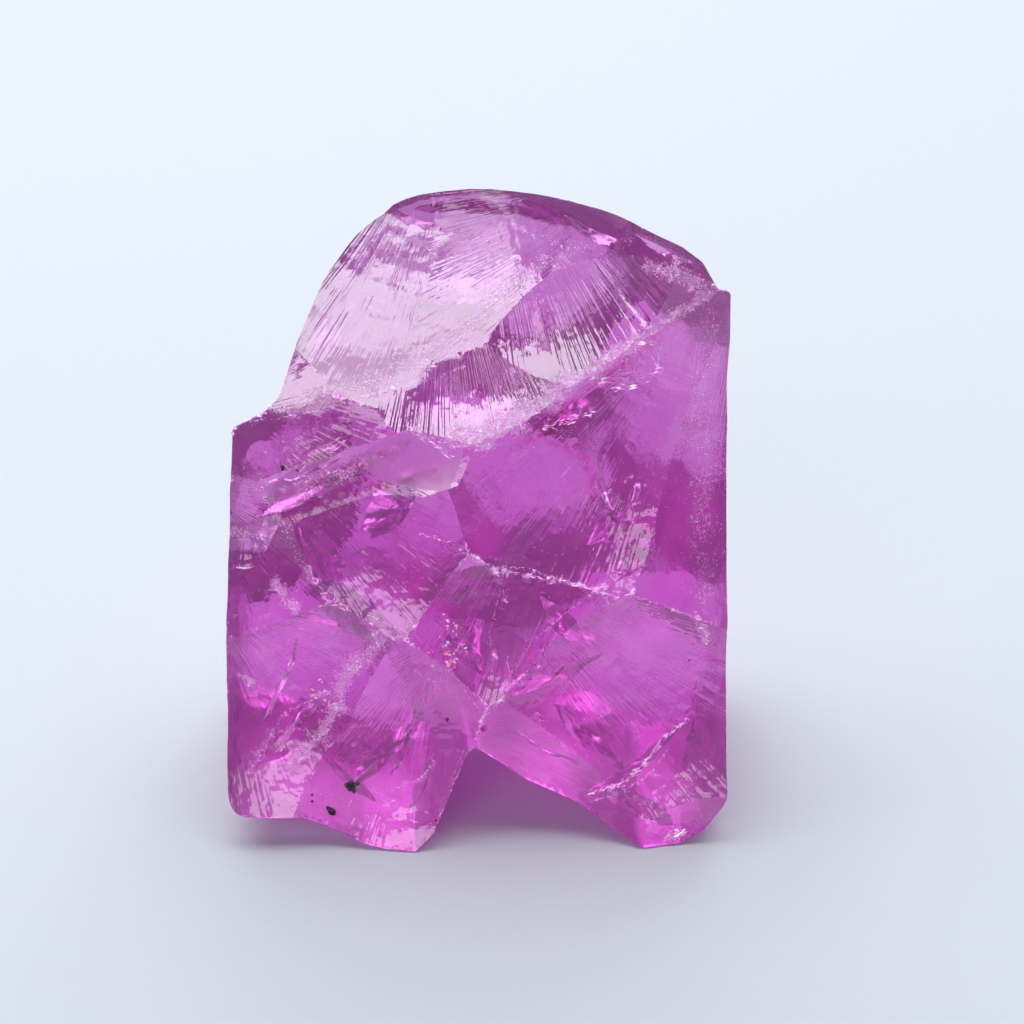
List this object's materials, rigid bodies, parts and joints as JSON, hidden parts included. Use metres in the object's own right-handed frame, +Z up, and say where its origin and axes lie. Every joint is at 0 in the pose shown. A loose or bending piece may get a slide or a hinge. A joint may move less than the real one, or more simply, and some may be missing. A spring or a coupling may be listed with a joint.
{
  "type": "raw crystal",
  "caption": "Rough broken piece of clear pink-violet zircon with a domed top, flat sides and shell-shaped fracture faces, standing on two feet.",
  "frame": {"origin": "middle of the underside of the stone's box, on the surface it stands on", "axes": "+X to the right along the broad front face, +Y away from it towards the back, +Z up"},
  "size_m": [0.0276, 0.0184, 0.0323],
  "materials": {
    "crystal": "clear, glossy fracture faces with frosted ridges"
  },
  "bodies": {
    "root": {"crystal": "crystal"}
  },
  "joints": []
}
